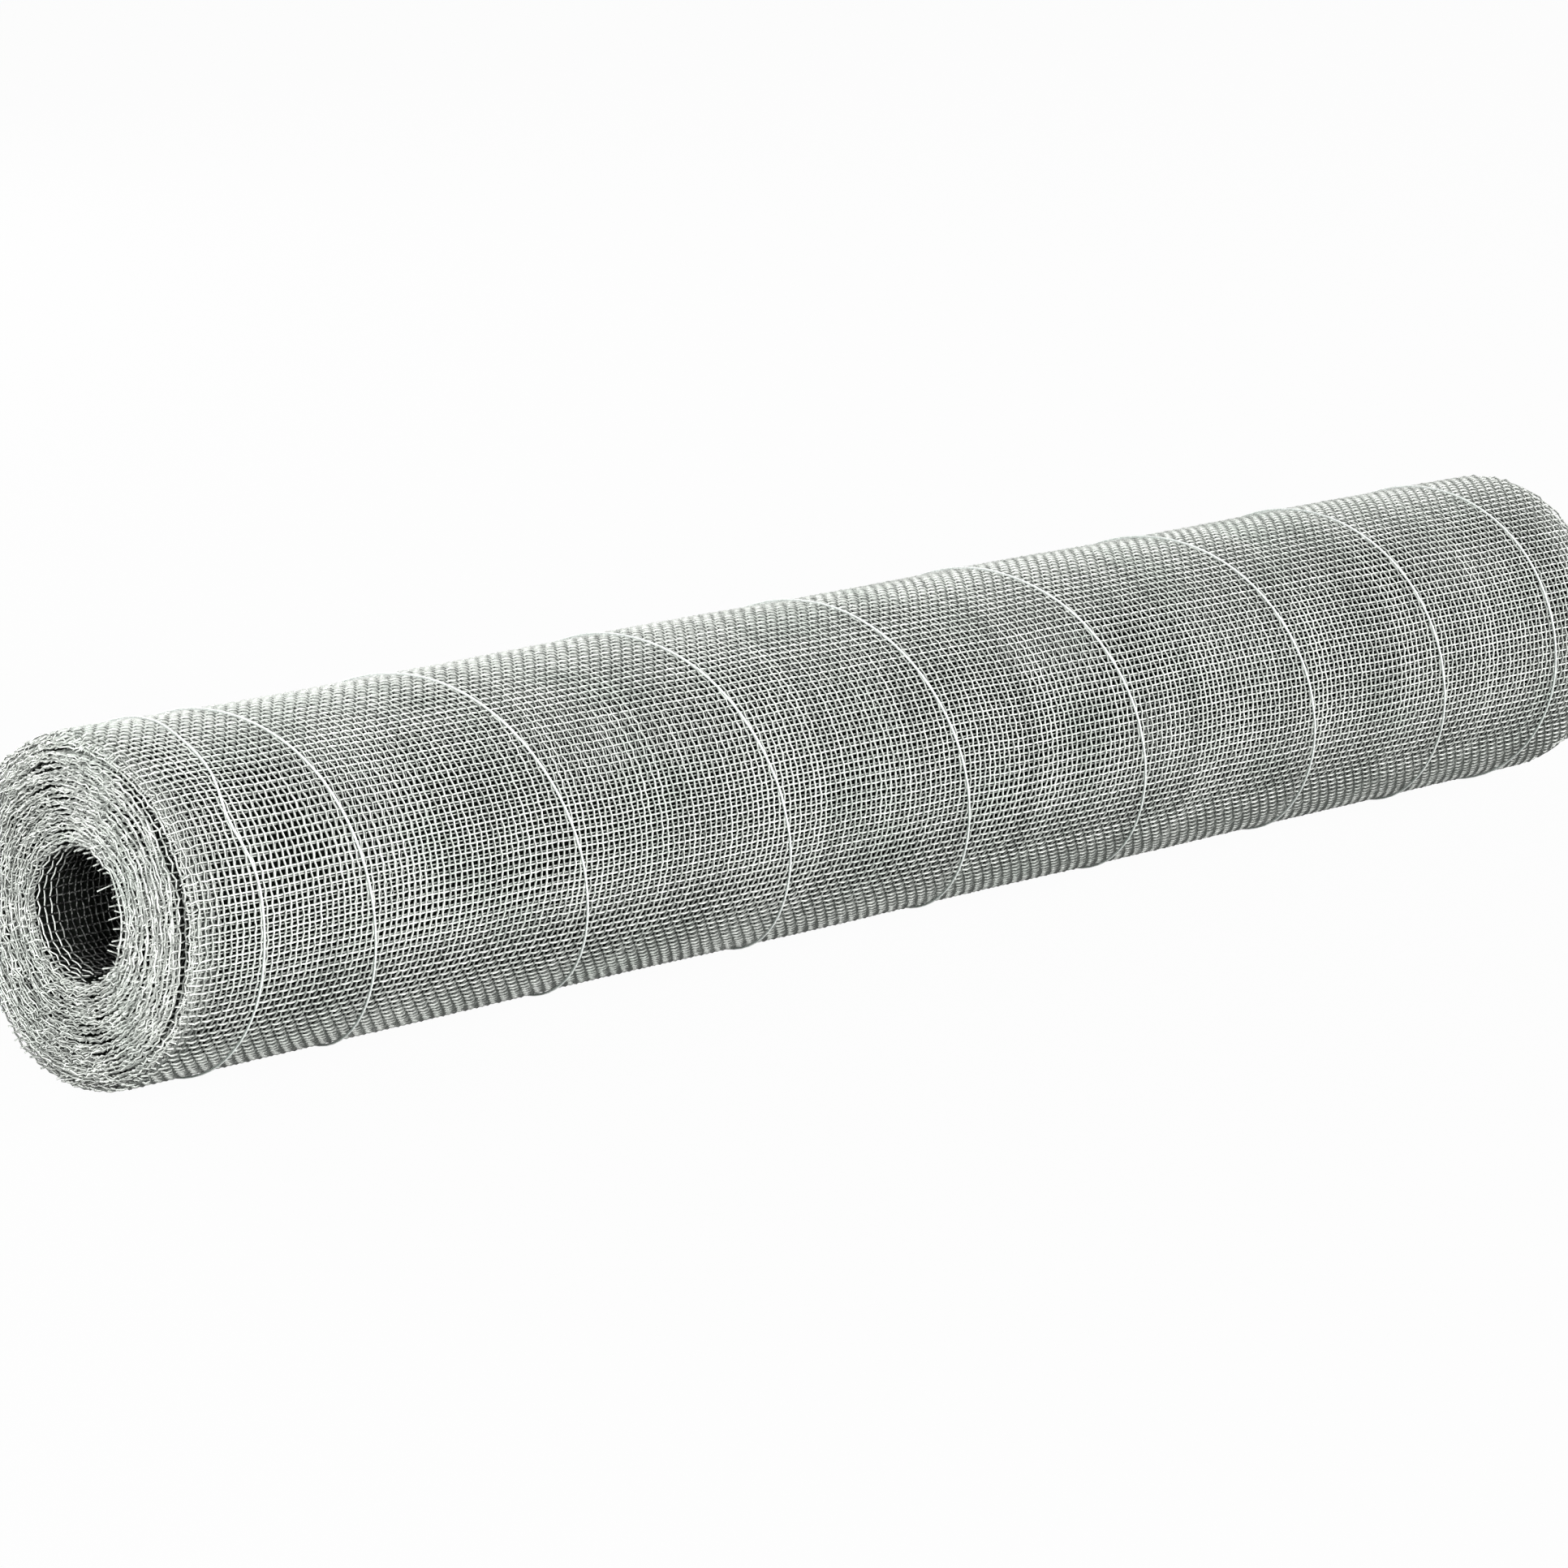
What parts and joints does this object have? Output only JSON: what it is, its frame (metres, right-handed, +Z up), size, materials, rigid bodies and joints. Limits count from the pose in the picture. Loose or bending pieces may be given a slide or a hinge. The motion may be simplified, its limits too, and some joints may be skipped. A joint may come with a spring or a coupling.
{
  "type": "roll of woven wire cloth",
  "caption": "Roll of galvanised plain-woven steel wire cloth with an open bore, lying on its side and bound by a helical tie wire.",
  "frame": {"origin": "on the floor under the middle of the lying roll", "axes": "+X along the roll's axis, towards the end where the tight turns stand back; +Z up"},
  "size_m": [1.005, 0.1633, 0.1646],
  "materials": {
    "galvanised_cloth": "woven galvanised steel wire, pale grey zinc",
    "galvanised_wire": "smooth galvanised steel wire, bright zinc"
  },
  "bodies": {
    "root": {"wire_cloth": "galvanised_cloth", "binding_wire": "galvanised_wire"}
  },
  "joints": []
}
